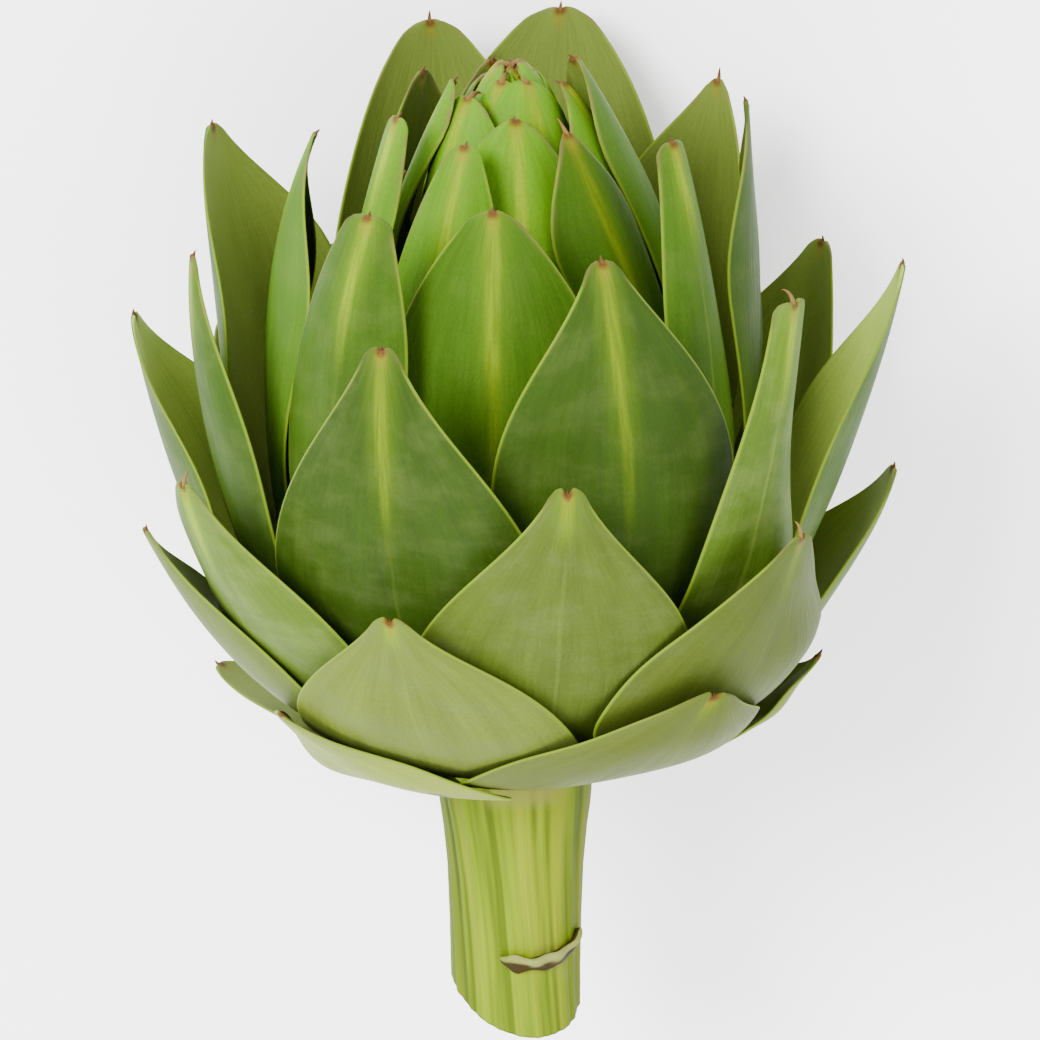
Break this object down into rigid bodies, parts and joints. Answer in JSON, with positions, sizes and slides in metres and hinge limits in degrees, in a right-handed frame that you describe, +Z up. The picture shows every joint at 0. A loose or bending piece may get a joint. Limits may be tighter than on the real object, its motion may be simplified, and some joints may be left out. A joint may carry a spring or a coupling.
{
  "type": "artichoke",
  "caption": "Globe artichoke lying on its side, with pointed overlapping green bracts round a tight bud and a short cut stem.",
  "frame": {"origin": "centre of the bounding box's bottom face, on the table that the artichoke lies on", "axes": "+Y from the stem's cut end to the bud's apex, +Z up from the table, so the head's front faces up; +X to the right of the front"},
  "size_m": [0.123, 0.1635, 0.1155],
  "materials": {
    "outer_bracts": "matt waxy sage green",
    "inner_bracts": "satin bright green",
    "stem": "matt pale green, ribbed"
  },
  "bodies": {
    "root": {"stem": "stem", "inner_bud": "inner_bracts", "bract_01": "outer_bracts", "bract_02": "outer_bracts", "bract_03": "outer_bracts", "bract_04": "outer_bracts", "bract_05": "outer_bracts", "bract_06": "outer_bracts", "bract_07": "outer_bracts", "bract_08": "outer_bracts", "bract_09": "outer_bracts", "bract_10": "outer_bracts", "bract_11": "outer_bracts", "bract_12": "outer_bracts", "bract_13": "outer_bracts", "bract_14": "outer_bracts", "bract_15": "outer_bracts", "bract_16": "outer_bracts", "bract_17": "outer_bracts", "bract_18": "outer_bracts", "bract_19": "outer_bracts", "bract_20": "outer_bracts", "bract_21": "outer_bracts", "bract_22": "outer_bracts", "bract_23": "outer_bracts", "bract_24": "outer_bracts", "bract_25": "outer_bracts", "bract_26": "outer_bracts", "bract_27": "inner_bracts", "bract_28": "inner_bracts", "bract_29": "inner_bracts", "bract_30": "inner_bracts", "bract_31": "inner_bracts", "bract_32": "inner_bracts", "bract_33": "inner_bracts", "bract_34": "inner_bracts", "bract_35": "inner_bracts", "bract_36": "inner_bracts", "bract_37": "inner_bracts", "bract_38": "inner_bracts", "bract_39": "inner_bracts", "bract_40": "inner_bracts", "bract_41": "inner_bracts", "bract_42": "inner_bracts", "bract_43": "inner_bracts", "bract_44": "inner_bracts", "bract_45": "inner_bracts", "bract_46": "inner_bracts", "bract_47": "inner_bracts", "bract_48": "inner_bracts"}
  },
  "joints": []
}
